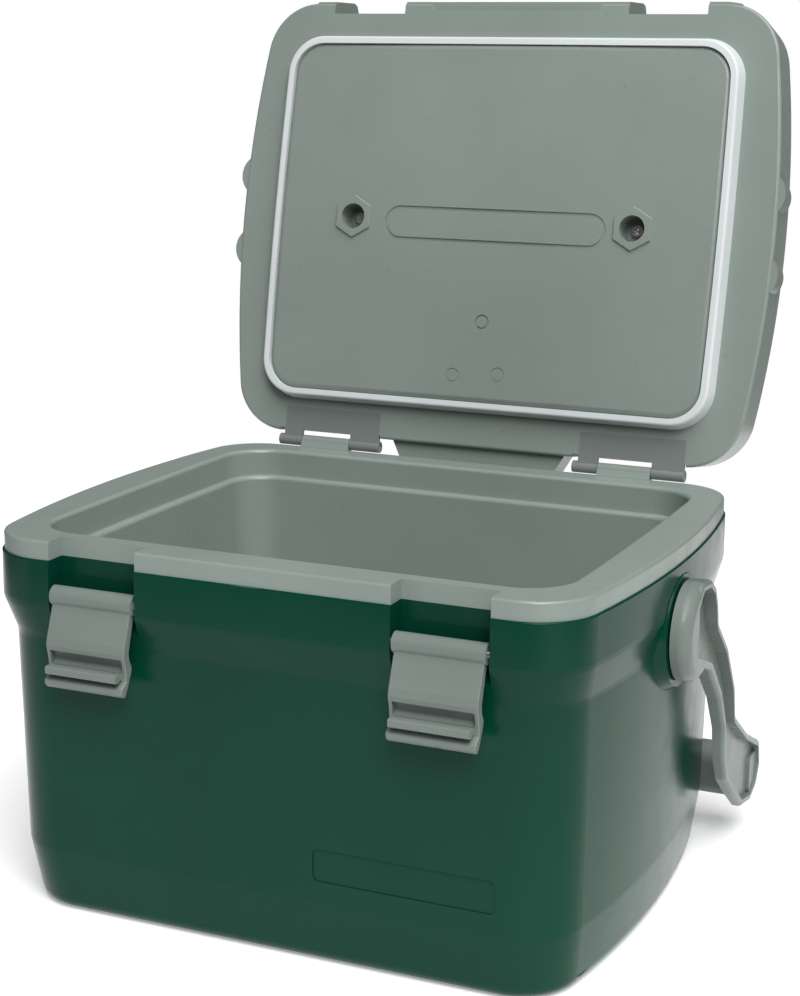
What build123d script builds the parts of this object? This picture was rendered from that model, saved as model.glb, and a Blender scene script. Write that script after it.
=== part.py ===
from build123d import *
import os

os.makedirs("parts", exist_ok=True)

# All sizes in millimetres. +X is the viewer's right facing the front, +Y the rear, +Z up.
# The origin is the middle of the flat base. The lid is stored open and the latches hang down.

# Body, seen in plan: flat front and rear, sides that bow outwards
RIM_HALF_X = 156.3
RIM_HALF_Y = 126.25
CORNER = 30.0
SIDE_BOW = 12.4
WALL = 2.5

# Body heights above the base
BAND_Z = 32.0
WAIST_Z = 139.5
COLLAR_Z = 156.5
SEAM_Z = 179.0
RIM_Z = 187.9

# Insulated space
FLOOR_Z = 28.0
LEDGE_Z = 173.5
OPENING_HALF_X = 134.0
OPENING_HALF_Y = 107.6
OPENING_Y = 2.1
OPENING_BOW = 1.5
PLUG_Y = 60.0
PLUG_R = 12.0

# Latches
LATCH_X = 87.0
LATCH_WIDTH = 42.0
LATCH_Y = -124.0
LATCH_Z = 162.3
LATCH_PIN_R = 2.0
RECESS_WIDTH = 46.2
RECESS_Y = -115.0

# Lid hinge
HINGE_Y = 128.2
HINGE_Z = 190.8
HINGE_LEFTS = (-119.7, 57.4)
HINGE_LENGTH = 62.3
KNUCKLE_R = 3.2
HINGE_PIN_R = 1.5
LID_OPEN = 102.0

# Lid, drawn closed and then swung open about the hinge
LID_Z = 188.3
LID_TOP_Z = 226.0
LID_HALF_X = 156.0
LID_HALF_Y = 122.0
LID_Y = 1.4
PANEL_HALF_X = 127.7
PANEL_HALF_Y = 97.6
PANEL_Y = 1.1
PANEL_Z = 179.0
BOSS_X = 81.4
BOSS_HOLE_R = 7.0
BOSS_FLOOR_Z = 193.2

# Carry handle
HANDLE_Z = 146.0
HUB_R = 24.0
PAD_X = 157.6
HUB_IN_X = 158.5
HUB_OUT_X = 167.9
STUD_R = 6.0
GRIP_Y = 131.0
GRIP_Z = 31.4


def bowed_outline(half_x, half_y, corner, bow, centre_y):
    """Fills the open sketch with a rounded rectangle whose two sides bow outwards."""
    edge_x = half_x - bow
    front_y = centre_y - half_y
    rear_y = centre_y + half_y
    with BuildLine() as edge:
        Line((-edge_x, front_y), (edge_x, front_y))
        ThreePointArc((edge_x, front_y), (half_x, centre_y), (edge_x, rear_y))
        Line((edge_x, rear_y), (-edge_x, rear_y))
        ThreePointArc((-edge_x, rear_y), (-half_x, centre_y), (-edge_x, front_y))
    make_face(edge.edges())
    fillet(vertices(), corner)


def stack(levels, bow, centre_y, mode=Mode.ADD):
    """Joins outlines at several heights by straight walls: each level is (z, half_x, half_y, corner)."""
    sections = []
    for z, half_x, half_y, corner in levels:
        with BuildSketch(Plane.XY.offset(z)) as section:
            bowed_outline(half_x, half_y, corner, bow, centre_y)
        sections.append(section.sketch.face())
    loft(sections, ruled=True, mode=mode)


def edges_at(builder, height):
    """The edges of a part that lie level at the given height."""
    return [e for e in builder.edges() if abs(e.center().Z - height) < 0.01 and flat(e)]


def on_ledge_rim(edge):
    """Whether an edge belongs to the outer of the two outlines at the ledge."""
    middle = edge @ 0.5
    return abs(middle.X) > 131.8 or abs(middle.Y - OPENING_Y) > 105.0 or corner_reach(middle) > 157.0


def corner_reach(point):
    """Distance from the middle of the opening, which sorts the two ledge outlines at corners."""
    return (point.X**2 + (point.Y - OPENING_Y) ** 2) ** 0.5


def flat_x(edge):
    """Whether an edge lies in one plane square to the X axis."""
    return abs((edge @ 0).X - (edge @ 1).X) < 0.01 and abs((edge @ 0).X - (edge @ 0.5).X) < 0.01


def flat(edge):
    """Whether both ends and the middle of an edge are at one height."""
    return abs((edge @ 0).Z - (edge @ 1).Z) < 0.01 and abs((edge @ 0).Z - (edge @ 0.5).Z) < 0.01


LATCH_PROFILE = [
    (-3.2, -2.0),
    (-5.2, -7.5),
    (-7.4, -13.5),
    (-9.2, -18.0),
    (-10.0, -21.6),
    (-9.4, -24.0),
    (-8.6, -27.0),
    (-8.2, -30.2),
    (-7.8, -34.6),
    (-9.0, -35.6),
    (-12.0, -37.6),
    (-11.8, -40.0),
    (-9.6, -42.0),
    (-8.2, -41.0),
    (-6.2, -37.6),
    (-4.6, -34.2),
    (-2.9, -31.2),
    (-2.6, -28.6),
    (-4.4, -25.2),
    (-5.0, -21.9),
    (-3.7, -17.0),
    (-1.6, -10.2),
    (1.0, -3.0),
]
GROOVE_PROFILE = [
    (-14.0, -22.8),
    (-6.6, -24.6),
    (-5.4, -28.8),
    (-6.6, -30.4),
    (-14.0, -30.4),
]
ARM_PROFILE = [
    (-2.0, 170.0),
    (12.0, 168.6),
    (22.0, 162.5),
    (27.5, 153.0),
    (31.0, 142.5),
    (53.0, 124.0),
    (73.0, 98.0),
    (79.0, 80.0),
    (110.0, 60.5),
    (137.5, 48.0),
    (142.0, 34.0),
    (137.0, 22.5),
    (125.0, 17.5),
    (105.0, 21.0),
    (85.0, 35.0),
    (67.0, 49.0),
    (58.5, 65.0),
    (56.0, 80.0),
    (43.0, 100.0),
    (21.0, 121.0),
    (4.0, 127.5),
    (-12.0, 133.0),
    (-12.0, 161.0),
]


BODY_LEVELS = [
    (0.0, RIM_HALF_X - 8.8, RIM_HALF_Y - 12.0, CORNER),
    (BAND_Z, RIM_HALF_X - 4.8, RIM_HALF_Y - 6.5, CORNER),
    (WAIST_Z, RIM_HALF_X - 3.3, RIM_HALF_Y - 4.3, CORNER),
    (COLLAR_Z, RIM_HALF_X + 0.9, RIM_HALF_Y + 0.9, CORNER),
    (SEAM_Z, RIM_HALF_X + 0.8, RIM_HALF_Y + 0.8, CORNER),
]
CAVITY_LEVELS = [
    (WALL, RIM_HALF_X - 8.8 - 6.0, RIM_HALF_Y - 12.0 - 6.0, CORNER - 6.0),
    (BAND_Z, RIM_HALF_X - 4.8 - WALL, RIM_HALF_Y - 6.5 - WALL, CORNER - WALL),
    (WAIST_Z, RIM_HALF_X - 3.3 - WALL, RIM_HALF_Y - 4.3 - WALL, CORNER - WALL),
    (COLLAR_Z, RIM_HALF_X + 0.9 - WALL, RIM_HALF_Y + 0.9 - WALL, CORNER - WALL),
    (SEAM_Z, RIM_HALF_X + 0.8 - WALL, RIM_HALF_Y + 0.8 - WALL, CORNER - WALL),
]
RIM_LEVELS = [
    (SEAM_Z, RIM_HALF_X, RIM_HALF_Y, CORNER),
    (RIM_Z, RIM_HALF_X, RIM_HALF_Y, CORNER),
]
RIM_HOLLOW_LEVELS = [
    (SEAM_Z, RIM_HALF_X - WALL, RIM_HALF_Y - WALL, CORNER - WALL),
    (RIM_Z - 3.0, RIM_HALF_X - WALL, RIM_HALF_Y - WALL, CORNER - WALL),
]
REBATE_LEVELS = [
    (LEDGE_Z, OPENING_HALF_X - 0.8, OPENING_HALF_Y - 0.8, 23.0),
    (RIM_Z + 0.1, OPENING_HALF_X, OPENING_HALF_Y, 24.0),
]
SPACE_LEVELS = [
    (FLOOR_Z, 124.5, 98.2, 16.0),
    (LEDGE_Z + 0.1, 129.6, 103.2, 19.0),
]
TUB_LEVELS = [
    (FLOOR_Z - WALL, 127.0, 100.7, 18.5),
    (LEDGE_Z - 3.0, 132.0, 105.6, 21.5),
    (LEDGE_Z - 2.9, OPENING_HALF_X + 1.7, OPENING_HALF_Y + 1.7, 25.5),
    (RIM_Z - 1.0, OPENING_HALF_X + 2.5, OPENING_HALF_Y + 2.5, 26.5),
]


def recess_profile(top_z):
    """Side view of a latch recess: straight back wall and a ramp that runs out on the taper."""
    with BuildLine() as edge:
        Polyline(
            (RECESS_Y, top_z),
            (RECESS_Y, 154.0),
            (-126.6, 146.9),
            (-140.0, 146.9),
            (-140.0, top_z),
            close=True,
        )
    make_face(edge.edges())


def latch_recesses(top_z):
    """Cuts both latch recesses into the front."""
    for side in (-1, 1):
        with BuildSketch(Plane.YZ.offset(side * LATCH_X)) as section:
            recess_profile(top_z)
        extrude(section.sketch.face(), amount=RECESS_WIDTH / 2, both=True, mode=Mode.SUBTRACT)


# ---- helper volumes: the hollow of the shell and the outside of the inner tub ----
with BuildPart() as shell_hollow:
    stack(CAVITY_LEVELS, SIDE_BOW, 0)
    fillet(edges_at(shell_hollow, WALL), 4.0)
    for side in (-1, 1):
        with Locations((side * LATCH_X, -122.5, 170.0)):
            Box(RECESS_WIDTH + 11.0, 20.0, 52.0, mode=Mode.SUBTRACT)
        with Locations(Location((side * 150.0, 0, HANDLE_Z), (0, 90, 0))):
            Cylinder(11.0, 12.0, mode=Mode.SUBTRACT)

with BuildPart() as rim_hollow:
    stack(RIM_HOLLOW_LEVELS, SIDE_BOW, 0)
    for side in (-1, 1):
        with Locations((side * LATCH_X, -122.5, 182.0)):
            Box(RECESS_WIDTH + 5.0, 20.0, 20.0, mode=Mode.SUBTRACT)

with BuildPart() as tub_solid:
    stack(TUB_LEVELS, OPENING_BOW, OPENING_Y)
    fillet(edges_at(tub_solid, FLOOR_Z - WALL), 12.0)

# ---- outer shell: collar, taper, drafted wall and lower band, open at the top ----
with BuildPart() as outer_shell:
    stack(BODY_LEVELS, SIDE_BOW, 0)
    fillet(edges_at(outer_shell, WAIST_Z) + edges_at(outer_shell, COLLAR_Z), 9.0)
    fillet(edges_at(outer_shell, BAND_Z), 12.0)
    fillet(edges_at(outer_shell, SEAM_Z), 0.8)
    fillet(edges_at(outer_shell, 0.0), 7.0)
    for side in (-1, 1):
        with BuildSketch(Plane.YZ.offset(side * 148.0)):
            with Locations((0, HANDLE_Z)):
                Circle(32.0)
        with BuildSketch(Plane.YZ.offset(side * PAD_X)):
            with Locations((0, HANDLE_Z)):
                Circle(27.0)
        loft()
    add(shell_hollow.part, mode=Mode.SUBTRACT)
    latch_recesses(SEAM_Z + 5.0)
    for side in (-1, 1):
        with Locations(Location((side * LATCH_X, LATCH_Y, LATCH_Z), (0, 90, 0))):
            Cylinder(LATCH_PIN_R, RECESS_WIDTH + 9.0, mode=Mode.SUBTRACT)
        with Locations(Location((side * 150.0, 0, HANDLE_Z), (0, 90, 0))):
            Cylinder(STUD_R, 40.0, mode=Mode.SUBTRACT)
    with Locations((0, PLUG_Y, 0)):
        Cylinder(PLUG_R, 20.0, mode=Mode.SUBTRACT)
    with BuildSketch(Plane.XZ.offset(119.4)):
        with Locations((67.5, 50.0)):
            RectangleRounded(89.0, 16.0, 3.0)
    extrude(amount=5.0, mode=Mode.SUBTRACT)
outer_shell.part.label = "outer_shell"
export_step(outer_shell.part, "parts/outer_shell.step")

# ---- inner liner: rim, gasket ledge, tub and the fixed hinge knuckles ----
with BuildPart() as inner_space:
    stack(SPACE_LEVELS, OPENING_BOW, OPENING_Y)
    fillet(edges_at(inner_space, FLOOR_Z), 10.0)
    stack(REBATE_LEVELS, OPENING_BOW, OPENING_Y)
    ledge_edges = edges_at(inner_space, LEDGE_Z)
    fillet([e for e in ledge_edges if not on_ledge_rim(e)], 2.2)

with BuildPart() as inner_liner:
    stack(RIM_LEVELS, SIDE_BOW, 0)
    fillet(edges_at(inner_liner, RIM_Z), 1.5)
    add(rim_hollow.part, mode=Mode.SUBTRACT)
    add(tub_solid.part)
    add(inner_space.part, mode=Mode.SUBTRACT)
    inner_edge = [e for e in edges_at(inner_liner, RIM_Z) if abs(e.center().Y) < 112.0]
    fillet([e for e in inner_edge if abs(e.center().X) < 138.0], 2.0)
    latch_recesses(RIM_Z + 5.0)
    for left in HINGE_LEFTS:
        with BuildSketch(Plane.YZ.offset(left + 14.6)):
            with BuildLine():
                Polyline(
                    (123.3, 186.5),
                    (123.3, 188.1),
                    (125.9, 193.0),
                    (HINGE_Y, 193.9),
                    (130.0, 188.2),
                    (126.2, 184.5),
                    (125.0, 184.5),
                    close=True,
                )
            make_face()
            with Locations((HINGE_Y, HINGE_Z)):
                Circle(KNUCKLE_R)
                Circle(HINGE_PIN_R + 0.08, mode=Mode.SUBTRACT)
        extrude(amount=29.5)
inner_liner.part.label = "inner_liner"
export_step(inner_liner.part, "parts/inner_liner.step")

# ---- insulation between shell and liner, and the plug over its filling hole ----
with BuildPart() as body_foam:
    add(shell_hollow.part)
    add(rim_hollow.part)
    add(tub_solid.part, mode=Mode.SUBTRACT)
    for side in (-1, 1):
        with Locations(Location((side * 143.0, 0, HANDLE_Z), (0, 90, 0))):
            Cylinder(9.0, 2.0, mode=Mode.SUBTRACT)
body_foam.part.label = "body_foam"
export_step(body_foam.part, "parts/body_foam.step")

with BuildPart() as body_fill_plug:
    with Locations((0, PLUG_Y, 0)):
        Cylinder(PLUG_R, WALL, align=(Align.CENTER, Align.CENTER, Align.MIN))
body_fill_plug.part.label = "body_fill_plug"
export_step(body_fill_plug.part, "parts/body_fill_plug.step")



# ---- latches: each is a moulded pull with a barrel, a groove and a hook bar ----
def latch_sketch(points):
    """Fills the open side-view sketch with a closed outline given from the latch axis."""
    with BuildLine() as edge:
        Polyline([(LATCH_Y + dy, LATCH_Z + dz) for dy, dz in points], close=True)
    make_face(edge.edges())


def make_latch(side):
    """One latch hanging from its pin."""
    middle = Plane.YZ.offset(side * LATCH_X)
    with BuildPart() as latch:
        with BuildSketch(middle):
            latch_sketch(LATCH_PROFILE)
            fillet(vertices(), 0.8)
        extrude(amount=LATCH_WIDTH / 2, both=True)
        fillet([e for e in latch.edges() if flat_x(e) and (e @ 0.5).Z < LATCH_Z - 8.0], 0.6)
        with BuildSketch(middle):
            with Locations((LATCH_Y, LATCH_Z)):
                Circle(4.8)
        extrude(amount=LATCH_WIDTH / 2 + 0.8, both=True)
        with BuildSketch(Plane.XZ.offset(140.0)):
            with Locations((side * LATCH_X, LATCH_Z - 17.0)):
                Rectangle(LATCH_WIDTH + 1.6, 54.0)
            fillet(vertices().group_by(Axis.Y)[0], 5.4)
        extrude(amount=-30.0, mode=Mode.INTERSECT)
        with BuildSketch(middle):
            latch_sketch(GROOVE_PROFILE)
            fillet(vertices().sort_by(Axis.X)[-3:], 1.2)
        extrude(amount=LATCH_WIDTH / 2 - 1.8, both=True, mode=Mode.SUBTRACT)
        with BuildSketch(middle):
            with Locations((LATCH_Y - 12.3, LATCH_Z - 32.4)):
                RectangleRounded(3.8, 3.8, 1.0)
            with Locations((LATCH_Y - 9.5, LATCH_Z - 32.2)):
                Rectangle(5.0, 2.6)
        extrude(amount=19.0, both=True)
        with BuildSketch(middle):
            with Locations((LATCH_Y, LATCH_Z)):
                Circle(LATCH_PIN_R + 0.08)
        extrude(amount=LATCH_WIDTH, both=True, mode=Mode.SUBTRACT)
    return latch.part


def make_latch_pin(side):
    """A plain steel pin seated in the shell on both sides of its latch."""
    with BuildPart() as pin:
        with Locations(Location((side * LATCH_X, LATCH_Y, LATCH_Z), (0, 90, 0))):
            Cylinder(LATCH_PIN_R, RECESS_WIDTH + 8.8)
    return pin.part


for side, name in ((-1, "left"), (1, "right")):
    latch_part = make_latch(side)
    latch_part.label = "latch_" + name
    export_step(latch_part, "parts/latch_" + name + ".step")
    pin_part = make_latch_pin(side)
    pin_part.label = "latch_pin_" + name
    export_step(pin_part, "parts/latch_pin_" + name + ".step")


# ---- lid, drawn closed: one hollow moulding with a domed panel on its underside ----
LID_LEVELS = [
    (LID_Z, LID_HALF_X, LID_HALF_Y, CORNER),
    (LID_TOP_Z, LID_HALF_X - 1.4, LID_HALF_Y - 1.4, CORNER - 1.0),
]
LID_HOLLOW_LEVELS = [
    (LID_Z + 4.0, LID_HALF_X - 2.5, LID_HALF_Y - 4.5, CORNER - 3.0),
    (LID_TOP_Z - 3.5, LID_HALF_X - 6.0, LID_HALF_Y - 7.0, CORNER - 5.0),
]
PANEL_LEVELS = [
    (PANEL_Z - 0.5, PANEL_HALF_X, PANEL_HALF_Y, 17.0),
    (LID_Z + 0.5, PANEL_HALF_X, PANEL_HALF_Y, 17.0),
]
PANEL_HOLLOW_LEVELS = [
    (PANEL_Z + 5.5, PANEL_HALF_X - 3.0, PANEL_HALF_Y - 3.0, 14.0),
    (LID_Z + 5.0, PANEL_HALF_X - 3.0, PANEL_HALF_Y - 3.0, 14.0),
]
GASKET_LEVELS = [
    (PANEL_Z + 0.8, 131.4, 101.3, 20.4),
    (LID_Z, 133.2, 103.1, 22.2),
]
GASKET_HOLE_LEVELS = [
    (PANEL_Z - 1.0, PANEL_HALF_X, PANEL_HALF_Y, 17.0),
    (LID_Z + 1.0, PANEL_HALF_X, PANEL_HALF_Y, 17.0),
]
DOME_R = 5100.0

with BuildPart() as lid_panel:
    stack(PANEL_LEVELS, OPENING_BOW, PANEL_Y)
    with Locations((0, PANEL_Y, PANEL_Z + DOME_R)):
        Sphere(DOME_R, rotation=(90, 0, 0), mode=Mode.INTERSECT)
    low = [e for e in lid_panel.edges() if e.center().Z < PANEL_Z + 4.0 and e.length > 20.0]
    fillet([e for e in low if not e.geom_type == GeomType.LINE or abs(e.tangent_at(0.5).Z) < 0.5], 3.0)

with BuildPart() as lid_hollow:
    stack(LID_HOLLOW_LEVELS, SIDE_BOW - 0.8, LID_Y)
    fillet(edges_at(lid_hollow, LID_TOP_Z - 3.5), 6.0)
    for side in (-1, 1):
        with Locations((side * LATCH_X, -120.0, 200.0)):
            Box(50.0, 23.0, 60.0, mode=Mode.SUBTRACT)
    stack(PANEL_HOLLOW_LEVELS, OPENING_BOW, PANEL_Y)
    with Locations((-BOSS_X, 0.3, 195.0), (BOSS_X, 0.3, 195.0)):
        Cylinder(10.5, 80.0, mode=Mode.SUBTRACT)

with BuildPart() as lid_front:
    with BuildSketch(Plane.YZ):
        with BuildLine():
            Polyline(
                (-114.0, 189.8),
                (-121.6, 189.8),
                (-126.0, 213.0),
                (-125.2, 217.0),
                (-122.0, 219.4),
                (-114.0, 220.0),
                close=True,
            )
        make_face()
        fillet(vertices().sort_by(Axis.X)[:3], 0.9)
    extrude(amount=121.0, both=True)
    fillet([e for e in lid_front.edges() if flat_x(e) and (e @ 0.5).Y < -118.0], 1.8)

with BuildPart() as lid_shell:
    stack(LID_LEVELS, SIDE_BOW - 0.8, LID_Y)
    fillet(edges_at(lid_shell, LID_TOP_Z), 10.0)
    fillet(edges_at(lid_shell, LID_Z), 1.5)
    add(lid_panel.part)
    add(lid_front.part)
    with BuildSketch(Plane.XY.offset(193.3)):
        with BuildLine():
            Polyline(
                (-51.0, 118.0),
                (-51.0, 123.2),
                (-46.5, 131.5),
                (-43.0, 137.2),
                (43.0, 137.2),
                (46.5, 131.5),
                (51.0, 123.2),
                (51.0, 118.0),
                close=True,
            )
        make_face()
        fillet(vertices().sort_by(Axis.Y)[-2:], 2.0)
    extrude(amount=14.7)
    for side in (-1, 1):
        for bump_y in (-21.8, 20.2):
            with BuildSketch(Plane.XY.offset(LID_Z + 0.5)):
                with Locations((side * 147.2, bump_y)):
                    Circle(12.0)
            extrude(amount=17.0, taper=3.0)
    with BuildSketch(Plane.XY.offset(PANEL_Z - 0.6)):
        with Locations((-BOSS_X, 0.3), (BOSS_X, 0.3)):
            RegularPolygon(10.35, 6, major_radius=False, rotation=30)
        fillet(vertices(), 0.8)
    extrude(amount=6.0)
    hex_rims = [e for e in edges_at(lid_shell, PANEL_Z - 0.6) if e.length < 13.0]
    fillet(hex_rims, 0.5)
    add(lid_hollow.part, mode=Mode.SUBTRACT)
    for side in (-1, 1):
        with BuildSketch(Plane.YZ.offset(side * LATCH_X)):
            with Locations((-134.75, 208.0)):
                Rectangle(40.0, 60.0)
            with Locations((-131.0, 199.65)):
                Rectangle(40.0, 12.7)
            fillet(vertices().sort_by(Axis.X)[-2:], 2.0)
        extrude(amount=21.75, both=True, mode=Mode.SUBTRACT)
    with Locations((-BOSS_X, 0.3, BOSS_FLOOR_Z), (BOSS_X, 0.3, BOSS_FLOOR_Z)):
        Cylinder(BOSS_HOLE_R, 30.0, align=(Align.CENTER, Align.CENTER, Align.MAX), mode=Mode.SUBTRACT)
        Cylinder(1.8, 12.8, align=(Align.CENTER, Align.CENTER, Align.MIN), mode=Mode.SUBTRACT)
    for left in HINGE_LEFTS:
        with Locations((left + HINGE_LENGTH / 2, 131.6, 205.0)):
            Box(HINGE_LENGTH + 1.2, 20.0, 60.0, mode=Mode.SUBTRACT)
        with Locations((left + 32.6, 116.6, LID_Z)):
            Box(59.0, 14.8, 4.4, mode=Mode.SUBTRACT)
    with BuildSketch(Plane.XY.offset(LID_Z)):
        with BuildLine():
            Polyline((-55.0, -130.0), (-48.0, -116.6), (48.0, -116.6), (55.0, -130.0), close=True)
        make_face()
        fillet(vertices().sort_by(Axis.Y)[-2:], 3.0)
    extrude(amount=2.0, mode=Mode.SUBTRACT)
    with BuildSketch(Plane.XY.offset(PANEL_Z - 2.0)):
        with Locations((2.5, 2.7)):
            SlotOverall(129.0, 19.0)
            SlotOverall(125.4, 15.4, mode=Mode.SUBTRACT)
        with Locations((-13.4, 84.8), (12.9, 82.8), (1.3, 54.7)):
            Circle(4.0)
            Circle(3.1, mode=Mode.SUBTRACT)
    extrude(amount=3.0, mode=Mode.SUBTRACT)

with BuildPart() as lid_gasket:
    stack(GASKET_LEVELS, OPENING_BOW, PANEL_Y)
    fillet(edges_at(lid_gasket, PANEL_Z + 0.8), 1.4)
    stack(GASKET_HOLE_LEVELS, OPENING_BOW, PANEL_Y, mode=Mode.SUBTRACT)

with BuildPart() as lid_screws:
    with Locations((-BOSS_X, 0.3, BOSS_FLOOR_Z), (BOSS_X, 0.3, BOSS_FLOOR_Z)):
        Cylinder(3.0, 4.0, align=(Align.CENTER, Align.CENTER, Align.MAX))
        Cylinder(1.8, 12.8, align=(Align.CENTER, Align.CENTER, Align.MIN))
    with Locations((-BOSS_X, 0.3, BOSS_FLOOR_Z - 4.0), (BOSS_X, 0.3, BOSS_FLOOR_Z - 4.0)):
        Box(3.8, 0.9, 3.0, mode=Mode.SUBTRACT)
        Box(0.9, 3.8, 3.0, mode=Mode.SUBTRACT)


def make_leaf(left):
    """The hinge half carried by the lid: a flat leaf in its pocket and two knuckles."""
    with BuildPart() as leaf:
        with Locations((left + 32.6, 115.9, LID_Z)):
            Box(59.0, 13.4, 2.2, align=(Align.CENTER, Align.CENTER, Align.MIN))
        for start, end in ((3.1, 14.3), (44.4, 62.1)):
            with Locations((left + (start + end) / 2, 125.4, LID_Z)):
                Box(end - start, 5.6, 2.2, align=(Align.CENTER, Align.CENTER, Align.MIN))
        for start, end in ((0.0, 14.3), (44.4, HINGE_LENGTH)):
            with Locations(Location((left + (start + end) / 2, HINGE_Y, HINGE_Z), (0, 90, 0))):
                Cylinder(KNUCKLE_R, end - start)
        with Locations(Location((left + HINGE_LENGTH / 2, HINGE_Y, HINGE_Z), (0, 90, 0))):
            Cylinder(HINGE_PIN_R, 80.0, mode=Mode.SUBTRACT)
    return leaf.part


def make_hinge_pin(left):
    """A steel pin pressed into the leaf's knuckles."""
    with BuildPart() as pin:
        with Locations(Location((left + HINGE_LENGTH / 2, HINGE_Y, HINGE_Z), (0, 90, 0))):
            Cylinder(HINGE_PIN_R, HINGE_LENGTH - 0.8)
    return pin.part


lid_parts = {
    "lid_shell": lid_shell.part,
    "lid_foam": lid_hollow.part,
    "lid_gasket": lid_gasket.part,
    "lid_screws": lid_screws.part,
    "hinge_leaf_left": make_leaf(HINGE_LEFTS[0]),
    "hinge_leaf_right": make_leaf(HINGE_LEFTS[1]),
    "hinge_pin_left": make_hinge_pin(HINGE_LEFTS[0]),
    "hinge_pin_right": make_hinge_pin(HINGE_LEFTS[1]),
}
hinge_axis = Axis((0, HINGE_Y, HINGE_Z), (1, 0, 0))
for name, closed_part in lid_parts.items():
    open_part = closed_part.rotate(hinge_axis, -LID_OPEN)
    open_part.label = name
    export_step(open_part, "parts/" + name + ".step")

# ---- carry handle: one moulding of two channelled arms, two hubs and a cross grip ----
def make_arm(side):
    """The solid outside of one handle arm, rounded on its outer edge."""
    with BuildPart() as arm:
        with BuildSketch(Plane.YZ.offset(side * 159.1)):
            with BuildLine():
                Polyline(ARM_PROFILE, close=True)
            make_face()
            fillet(vertices(), 6.0)
        extrude(amount=side * 12.0)
        with BuildSketch(Plane.XZ.offset(-160.0)):
            with BuildLine():
                Polyline(
                    (side * 150.0, 0),
                    (side * 150.0, 200.0),
                    (side * 168.9, 200.0),
                    (side * 163.2, 0),
                    close=True,
                )
            make_face()
        extrude(amount=200.0, mode=Mode.INTERSECT)
        outer = arm.faces().sort_by(Axis.X)[-1 if side > 0 else 0]
        fillet(outer.edges(), 2.0)
    return arm.part


def make_hub(side):
    """The solid outside of one handle hub."""
    with BuildPart() as hub:
        with Locations(Location((side * (HUB_IN_X + HUB_OUT_X) / 2, 0, HANDLE_Z), (0, 90, 0))):
            Cylinder(HUB_R, HUB_OUT_X - HUB_IN_X)
        fillet([e for e in hub.edges() if abs(e.center().X) > HUB_OUT_X - 0.1 and flat_x(e)], 6.0)
    return hub.part


with BuildPart() as handle:
    for side in (-1, 1):
        add(make_arm(side))
        add(make_hub(side))
    with BuildSketch(Plane.YZ):
        with Locations((GRIP_Y, GRIP_Z)):
            RectangleRounded(20.0, 28.0, 8.5)
    extrude(amount=160.0, both=True)
    for side in (-1, 1):
        for floor_x in (162.8, 160.9):
            with BuildSketch(Plane.YZ.offset(side * floor_x)):
                with BuildLine():
                    Polyline(ARM_PROFILE, close=True)
                make_face()
                fillet(vertices(), 6.0)
                offset(amount=-3.6)
                if floor_x < 162.0:
                    with Locations((0, HANDLE_Z)):
                        Circle(12.0, mode=Mode.SUBTRACT)
                    with Locations((GRIP_Y, GRIP_Z)):
                        RectangleRounded(14.0, 22.0, 5.0, mode=Mode.SUBTRACT)
            extrude(amount=side * 8.0, mode=Mode.SUBTRACT)
        with Locations(Location((side * 159.6, 0, HANDLE_Z), (0, 90, 0))):
            Cylinder(STUD_R + 0.08, 3.4, mode=Mode.SUBTRACT)
        with Locations(Location((side * 161.9, 0, HANDLE_Z), (0, 90, 0))):
            Cylinder(9.4, 2.2, mode=Mode.SUBTRACT)
handle.part.label = "handle"
export_step(handle.part, "parts/handle.step")


def make_stud(side):
    """The flanged stud the handle turns on, riveted over inside the shell."""
    with BuildPart() as stud:
        with Locations(Location((side * 152.3, 0, HANDLE_Z), (0, 90, 0))):
            Cylinder(STUD_R, 20.6)
        with Locations(Location((side * 161.85, 0, HANDLE_Z), (0, 90, 0))):
            Cylinder(9.0, 1.5)
        with Locations(Location((side * 143.0, 0, HANDLE_Z), (0, 90, 0))):
            Cylinder(9.0, 2.0)
    return stud.part


def make_washer(side):
    """The thin washer between shell pad and hub."""
    with BuildPart() as washer:
        with Locations(Location((side * (PAD_X + 0.3), 0, HANDLE_Z), (0, 90, 0))):
            Cylinder(15.0, 0.6)
            Cylinder(STUD_R, 4.0, mode=Mode.SUBTRACT)
    return washer.part


for side, name in ((-1, "left"), (1, "right")):
    stud_part = make_stud(side)
    stud_part.label = "handle_pivot_" + name
    export_step(stud_part, "parts/handle_pivot_" + name + ".step")
    washer_part = make_washer(side)
    washer_part.label = "handle_washer_" + name
    export_step(washer_part, "parts/handle_washer_" + name + ".step")
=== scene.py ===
import math
import bpy
from mathutils import Matrix, Vector

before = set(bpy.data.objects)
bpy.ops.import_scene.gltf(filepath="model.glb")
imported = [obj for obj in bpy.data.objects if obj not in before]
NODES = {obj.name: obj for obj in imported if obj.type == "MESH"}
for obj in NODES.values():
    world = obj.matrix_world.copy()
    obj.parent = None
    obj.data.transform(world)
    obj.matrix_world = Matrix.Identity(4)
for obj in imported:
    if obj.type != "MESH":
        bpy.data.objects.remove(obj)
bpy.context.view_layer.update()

# Lengths are in metres, colours are linear, and angles are in degrees.

# Noise scales and bump heights shared by the moulded plastics.
DRIFT_SCALE = 9.0
SHEEN_SCALE = 60.0
WAVE_SCALE = 16.0
GRAIN_SCALE = 1800.0
WAVE_HEIGHT = 0.002
GRAIN_HEIGHT = 0.0001
SCRATCH_SCALE = 400.0
SCRATCH_STRETCH = (0.03, 1.0, 1.0)

# The part of the noise's range that is spread over a colour or number change.
RAMP_ENDS = (0.35, 0.65)
SPREAD_ENDS = (0.3, 0.7)

FLOOR_SIZE = 1.5
FLOOR_CENTRE = (0.0, 0.1, -0.0005)
FLOOR_MOTTLE_SCALE = 3.0
FLOOR_ROUGHNESS = 0.7
FLOOR_GLOW = 0.30
WORLD_LIGHT = 0.10

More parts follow.
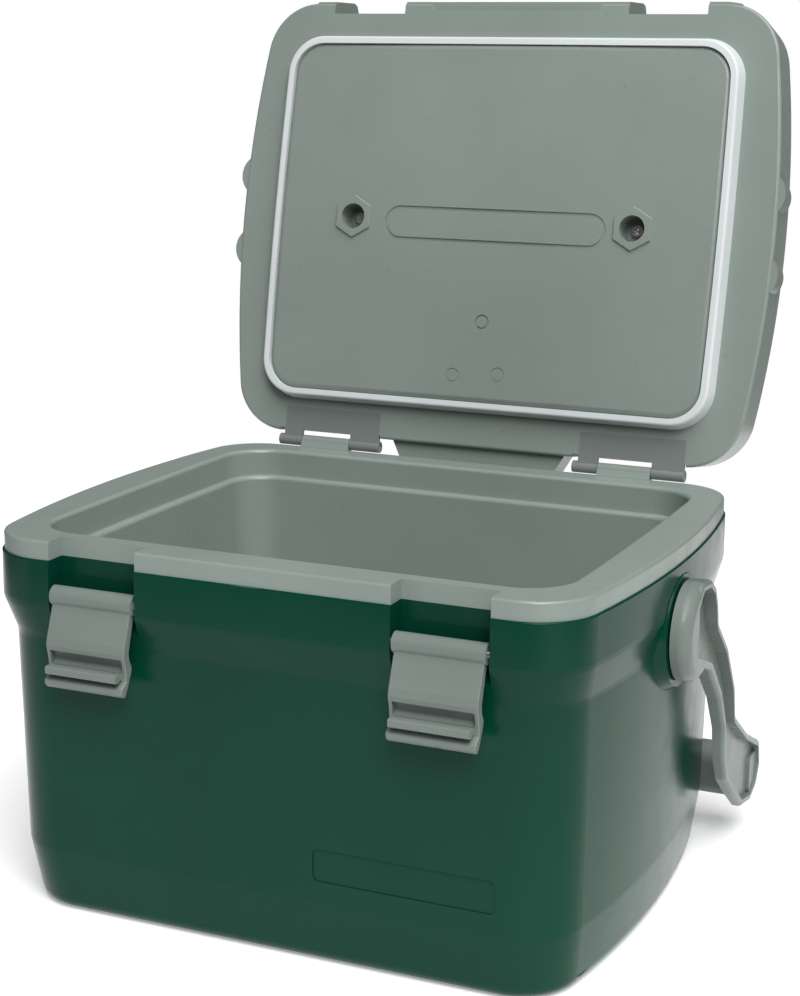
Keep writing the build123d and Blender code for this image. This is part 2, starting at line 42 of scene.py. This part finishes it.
CAMERA_AT = Vector((0.4073, -0.89165, 0.4183))
CAMERA_AZIMUTH = 24.25
CAMERA_ELEVATION = 12.99
CAMERA_ROLL = 0.34
LENS_MM = 73.34
SENSOR_MM = 36.0
SHIFT_X = 0.0118
SHIFT_Y = 0.0032


# ---------------------------------------------------------------- materials
def new_material(name):
    """An empty node material with its Principled shader wired to the output."""
    material = bpy.data.materials.new(name)
    material.use_nodes = True
    tree = material.node_tree
    tree.nodes.clear()
    shader = tree.nodes.new("ShaderNodeBsdfPrincipled")
    output = tree.nodes.new("ShaderNodeOutputMaterial")
    tree.links.new(shader.outputs["BSDF"], output.inputs["Surface"])
    return material, tree, shader


def noise(tree, scale, detail, stretch=(1.0, 1.0, 1.0)):
    """A noise texture in object coordinates, so it moves with its piece."""
    place = tree.nodes.new("ShaderNodeTexCoord")
    mapping = tree.nodes.new("ShaderNodeMapping")
    texture = tree.nodes.new("ShaderNodeTexNoise")
    mapping.inputs["Scale"].default_value = stretch
    texture.inputs["Scale"].default_value = scale
    texture.inputs["Detail"].default_value = detail
    tree.links.new(place.outputs["Object"], mapping.inputs["Vector"])
    tree.links.new(mapping.outputs["Vector"], texture.inputs["Vector"])
    return texture.outputs["Fac"]


def ramp(tree, value, low, high):
    """Turns a 0 to 1 value into a colour between low and high."""
    node = tree.nodes.new("ShaderNodeValToRGB")
    for element, position, colour in zip(node.color_ramp.elements, RAMP_ENDS, (low, high)):
        element.position = position
        element.color = (*colour, 1.0)
    tree.links.new(value, node.inputs["Fac"])
    return node.outputs["Color"]


def spread(tree, value, low, high):
    """Turns a 0 to 1 value into a number between low and high."""
    node = tree.nodes.new("ShaderNodeMapRange")
    node.inputs["From Min"].default_value = SPREAD_ENDS[0]
    node.inputs["From Max"].default_value = SPREAD_ENDS[1]
    node.inputs["To Min"].default_value = low
    node.inputs["To Max"].default_value = high
    tree.links.new(value, node.inputs["Value"])
    return node.outputs["Result"]


def bump(tree, value, strength, distance, below=None):
    """A bump from a 0 to 1 value, laid over an earlier bump if there is one."""
    node = tree.nodes.new("ShaderNodeBump")
    node.inputs["Strength"].default_value = strength
    node.inputs["Distance"].default_value = distance
    tree.links.new(value, node.inputs["Height"])
    if below is not None:
        tree.links.new(below, node.inputs["Normal"])
    return node.outputs["Normal"]


def moulded_plastic(name, colour, change, rough, grain, wave, gloss=0.5):
    """Moulded plastic: faint colour drift, uneven sheen, fine spark-eroded grain and slow waves."""
    material, tree, shader = new_material(name)
    low = [c * (1.0 - change) for c in colour]
    high = [c * (1.0 + change) for c in colour]
    tree.links.new(ramp(tree, noise(tree, DRIFT_SCALE, 4.0), low, high), shader.inputs["Base Color"])
    tree.links.new(spread(tree, noise(tree, SHEEN_SCALE, 5.0), *rough), shader.inputs["Roughness"])
    slow = bump(tree, noise(tree, WAVE_SCALE, 1.0), wave, WAVE_HEIGHT)
    fine = bump(tree, noise(tree, GRAIN_SCALE, 2.0), grain, GRAIN_HEIGHT, slow)
    tree.links.new(fine, shader.inputs["Normal"])
    shader.inputs["Specular IOR Level"].default_value = gloss
    return material


def steel(name):
    """Bright steel for pins and screws: fine scratches along the X axis."""
    material, tree, shader = new_material(name)
    scratches = noise(tree, SCRATCH_SCALE, 4.0, SCRATCH_STRETCH)
    colour = ramp(tree, scratches, (0.42, 0.42, 0.41), (0.62, 0.62, 0.60))
    tree.links.new(colour, shader.inputs["Base Color"])
    tree.links.new(spread(tree, scratches, 0.22, 0.42), shader.inputs["Roughness"])
    shader.inputs["Metallic"].default_value = 1.0
    return material


GREEN = moulded_plastic(
    "green_plastic",
    colour=(0.001, 0.040, 0.0230),
    change=0.07,
    rough=(0.16, 0.24),
    grain=0.06,
    wave=0.05,
    gloss=0.13,
)
GREY = moulded_plastic(
    "grey_plastic",
    colour=(0.222, 0.266, 0.241),
    change=0.05,
    rough=(0.27, 0.37),
    grain=0.14,
    wave=0.06,
)
FITTING = moulded_plastic(
    "fitting_plastic",
    colour=(0.165, 0.196, 0.180),
    change=0.05,
    rough=(0.25, 0.34),
    grain=0.14,
    wave=0.06,
    gloss=0.2,
)
HINGE = moulded_plastic(
    "hinge_plastic",
    colour=(0.175, 0.195, 0.190),
    change=0.05,
    rough=(0.34, 0.44),
    grain=0.15,
    wave=0.04,
)
PIVOT = moulded_plastic(
    "pivot_plastic",
    colour=(0.05, 0.055, 0.053),
    change=0.08,
    rough=(0.38, 0.5),
    grain=0.2,
    wave=0.04,
)
GASKET = moulded_plastic(
    "gasket_rubber",
    colour=(0.62, 0.66, 0.665),
    change=0.04,
    rough=(0.5, 0.62),
    grain=0.25,
    wave=0.03,
)
FOAM = moulded_plastic(
    "insulating_foam",
    colour=(0.72, 0.64, 0.42),
    change=0.12,
    rough=(0.85, 0.95),
    grain=0.9,
    wave=0.4,
)
STEEL = steel("pin_steel")

FINISHES = {
    "outer_shell": GREEN,
    "body_fill_plug": GREEN,
    "inner_liner": GREY,
    "lid_shell": GREY,
    "latch_left": FITTING,
    "latch_right": FITTING,
    "handle": FITTING,
    "hinge_leaf_left": HINGE,
    "hinge_leaf_right": HINGE,
    "handle_pivot_left": PIVOT,
    "handle_pivot_right": PIVOT,
    "handle_washer_left": PIVOT,
    "handle_washer_right": PIVOT,
    "lid_gasket": GASKET,
    "body_foam": FOAM,
    "lid_foam": FOAM,
    "lid_screws": STEEL,
    "hinge_pin_left": STEEL,
    "hinge_pin_right": STEEL,
    "latch_pin_left": STEEL,
    "latch_pin_right": STEEL,
}
for node_name, node_finish in FINISHES.items():
    mesh = NODES[node_name].data
    mesh.materials.clear()
    mesh.materials.append(node_finish)


# ---------------------------------------------------------------- stage
def pale_floor():
    """A plain pale floor with a faint mottle and a slight glow."""
    material, tree, shader = new_material("floor_paint")
    mottle = noise(tree, FLOOR_MOTTLE_SCALE, 3.0)
    colour = ramp(tree, mottle, (0.88, 0.88, 0.88), (0.91, 0.91, 0.91))
    tree.links.new(colour, shader.inputs["Base Color"])
    shader.inputs["Roughness"].default_value = FLOOR_ROUGHNESS
    shader.inputs["Emission Color"].default_value = (1.0, 1.0, 1.0, 1.0)
    shader.inputs["Emission Strength"].default_value = FLOOR_GLOW
    bpy.ops.mesh.primitive_plane_add(size=FLOOR_SIZE, location=FLOOR_CENTRE)
    floor = bpy.context.object
    floor.name = "floor"
    floor.data.materials.append(material)


def studio_world():
    """White where the camera looks past the floor, and a softer even light on the object."""
    world = bpy.data.worlds.new("studio")
    bpy.context.scene.world = world
    world.use_nodes = True
    tree = world.node_tree
    background = tree.nodes["Background"]
    background.inputs["Color"].default_value = (1.0, 1.0, 1.0, 1.0)
    paths = tree.nodes.new("ShaderNodeLightPath")
    strength = tree.nodes.new("ShaderNodeMapRange")
    strength.inputs["To Min"].default_value = WORLD_LIGHT
    strength.inputs["To Max"].default_value = 1.0
    tree.links.new(paths.outputs["Is Camera Ray"], strength.inputs["Value"])
    tree.links.new(strength.outputs["Result"], background.inputs["Strength"])


def add_light(light, direction):
    """Puts a light in the scene, shining along a direction."""
    lamp = bpy.data.objects.new(light.name, light)
    bpy.context.scene.collection.objects.link(lamp)
    lamp.rotation_euler = direction.to_track_quat("-Z", "Y").to_euler()
    return lamp


def softbox(name, place, target, size, power):
    """A rectangular area light aimed at a point."""
    light = bpy.data.lights.new(name, "AREA")
    light.shape = "RECTANGLE"
    light.size, light.size_y = size
    light.energy = power
    lamp = add_light(light, Vector(target) - Vector(place))
    lamp.location = place


def soft_sun(place, power, angle):
    """A broad sun shining from a place towards the origin, with soft-edged shadows."""
    light = bpy.data.lights.new("overhead", "SUN")
    light.energy = power
    light.angle = math.radians(angle)
    add_light(light, -Vector(place))


def photo_camera():
    """The camera, turned by its azimuth and elevation and then rolled about its view axis."""
    azimuth, elevation, roll = map(math.radians, (CAMERA_AZIMUTH, CAMERA_ELEVATION, CAMERA_ROLL))
    back = Vector(
        (
            math.sin(azimuth) * math.cos(elevation),
            -math.cos(azimuth) * math.cos(elevation),
            math.sin(elevation),
        )
    )
    level_right = Vector((0.0, 0.0, 1.0)).cross(back).normalized()
    level_up = back.cross(level_right)
    right = level_right * math.cos(roll) + level_up * math.sin(roll)
    up = level_up * math.cos(roll) - level_right * math.sin(roll)
    turn = Matrix((right, up, back)).transposed().to_4x4()
    lens = bpy.data.cameras.new("camera")
    lens.lens = LENS_MM
    lens.sensor_width = SENSOR_MM
    lens.shift_x = SHIFT_X
    lens.shift_y = SHIFT_Y
    lens.clip_start = 0.01
    camera = bpy.data.objects.new("camera", lens)
    bpy.context.scene.collection.objects.link(camera)
    camera.matrix_world = Matrix.Translation(CAMERA_AT) @ turn
    bpy.context.scene.camera = camera


pale_floor()
studio_world()
soft_sun(place=(0.35, -0.35, 1.0), power=2.9, angle=50.0)
softbox("side_right", place=(1.5, 0.3, 0.6), target=(0.0, 0.0, 0.2), size=(0.7, 1.0), power=1.5)
softbox("front_right", place=(0.7, -1.1, 1.25), target=(0.1, 0.1, 0.35), size=(0.7, 0.7), power=14.0)
photo_camera()
bpy.context.scene.view_settings.view_transform = "Standard"
